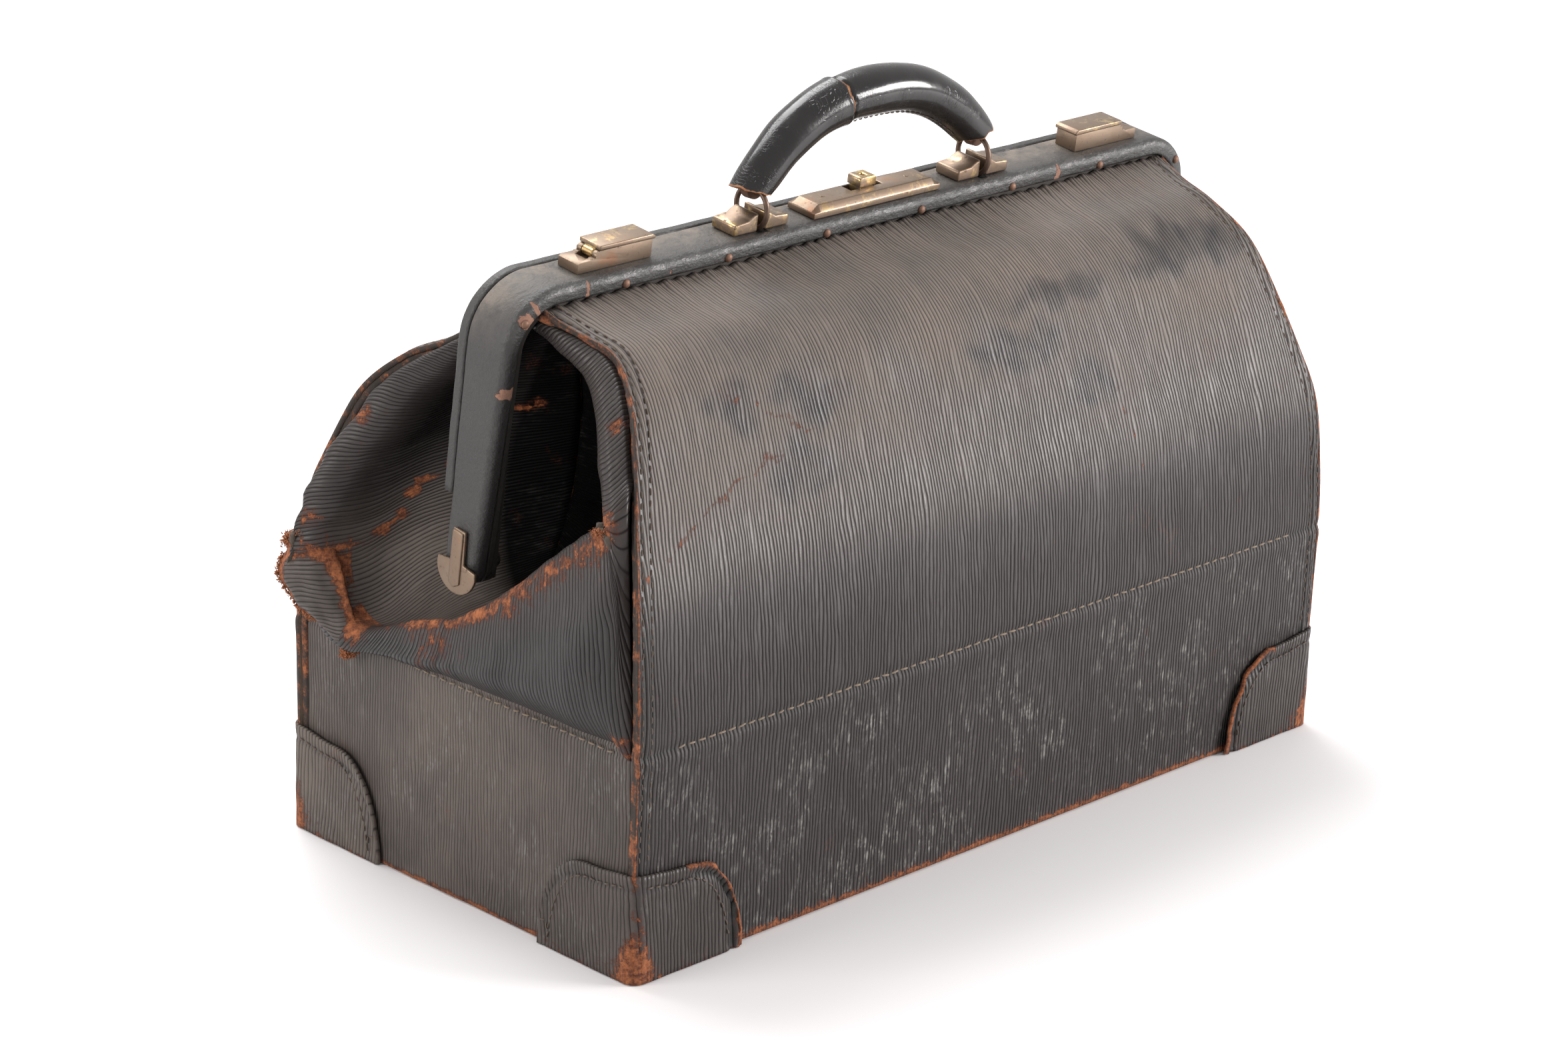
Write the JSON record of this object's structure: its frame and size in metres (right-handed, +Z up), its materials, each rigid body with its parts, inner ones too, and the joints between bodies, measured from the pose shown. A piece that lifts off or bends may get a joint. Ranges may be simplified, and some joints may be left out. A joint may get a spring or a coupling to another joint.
{
  "type": "doctor bag",
  "caption": "Leather bag with a stiff box base, a hinged two-part frame mouth, snap latches, a sliding lock button and a rolled handle on rings.",
  "frame": {"origin": "middle of the bag's footprint, on the surface it stands on", "axes": "+X along the bag, -Y towards the front with the tacks, +Z up"},
  "size_m": [0.4342, 0.2172, 0.3306],
  "materials": {
    "body_leather": "straight-grain embossed leather, black brown, dusty and scuffed",
    "frame_leather": "smooth black leather with rubbed edges",
    "handle_leather": "glossy black rolled leather",
    "tan_leather": "raw tan leather",
    "worn_welt": "rubbed red-brown leather edge",
    "board": "matt fibreboard",
    "lining_cloth": "plain woven cloth",
    "brass": "aged brass with brown patina, yellow where rubbed",
    "steel": "dull aged steel",
    "ring_wire": "dark brown rusted wire",
    "tack": "rusty brown domed tacks"
  },
  "bodies": {
    "base": {"bottom_panel": "body_leather", "bottom_board": "board", "front_panel_lower": "body_leather", "rear_panel_lower": "body_leather", "front_board": "board", "rear_board": "board", "left_board": "board", "right_board": "board", "left_gusset_lower": "body_leather", "right_gusset_lower": "body_leather", "lining": "lining_cloth", "front_left_welt": "worn_welt", "rear_left_welt": "worn_welt", "front_right_welt": "worn_welt", "rear_right_welt": "worn_welt", "front_left_corner_patch": "body_leather", "rear_left_corner_patch": "body_leather", "front_right_corner_patch": "body_leather", "rear_right_corner_patch": "body_leather", "left_hinge_pin": "steel", "right_hinge_pin": "steel"},
    "front_frame": {"front_frame_cover": "frame_leather", "front_frame_core": "steel", "front_panel_upper": "body_leather", "left_gusset_front": "body_leather", "right_gusset_front": "body_leather", "left_hinge_cap": "brass", "right_hinge_cap": "brass", "left_tack_1": "tack", "left_tack_2": "tack", "left_tack_3": "tack", "left_tack_corner": "tack", "right_tack_1": "tack", "right_tack_2": "tack", "right_tack_3": "tack", "right_tack_corner": "tack", "left_latch_base": "brass", "right_latch_base": "brass", "left_latch_pin": "steel", "right_latch_pin": "steel", "lock_plate": "brass", "left_handle_plate": "brass", "right_handle_plate": "brass"},
    "rear_frame": {"rear_frame_cover": "frame_leather", "rear_frame_core": "steel", "rear_panel_upper": "body_leather", "left_gusset_rear": "body_leather", "right_gusset_rear": "body_leather", "left_catch_hook": "steel", "right_catch_hook": "steel", "lock_staple": "steel"},
    "left_lever": {"left_latch_lever": "brass"},
    "right_lever": {"right_latch_lever": "brass"},
    "lock_slider": {"lock_button": "brass", "lock_bolt": "steel"},
    "ring_pair": {"left_handle_ring": "ring_wire", "right_handle_ring": "ring_wire"},
    "handle": {"handle_grip": "handle_leather", "handle_core": "tan_leather"}
  },
  "joints": [
    {"name": "front_frame_hinge", "type": "hinge", "parent": "base", "child": "front_frame", "pos_m": [0, 0.008, 0.148], "axis": [1, 0, 0], "range_deg": [0, 50]},
    {"name": "rear_frame_hinge", "type": "hinge", "parent": "base", "child": "rear_frame", "pos_m": [0, 0.008, 0.148], "axis": [1, 0, 0], "range_deg": [-50, 0]},
    {"name": "left_latch_hinge", "type": "hinge", "parent": "front_frame", "child": "left_lever", "pos_m": [-0.1565, -0.01009, 0.27807], "axis": [0, -0.9925, -0.1219], "range_deg": [0, 90]},
    {"name": "right_latch_hinge", "type": "hinge", "parent": "front_frame", "child": "right_lever", "pos_m": [0.1655, -0.01009, 0.27807], "axis": [0, 0.9925, 0.1219], "range_deg": [0, 90]},
    {"name": "lock_slide", "type": "slide", "parent": "front_frame", "child": "lock_slider", "axis": [1, 0, 0], "range_m": [-0.005, 0.005]},
    {"name": "ring_swing", "type": "hinge", "parent": "front_frame", "child": "ring_pair", "pos_m": [0, -0.01064, 0.28011], "axis": [1, 0, 0], "range_deg": [-55, 55]},
    {"name": "handle_swing", "type": "hinge", "parent": "ring_pair", "child": "handle", "pos_m": [0, -0.01064, 0.28931], "axis": [1, 0, 0], "range_deg": [-15, 15]}
  ],
  "couplings": [
    {"joint": "rear_frame_hinge", "follows": "front_frame_hinge", "ratio": -1}
  ]
}
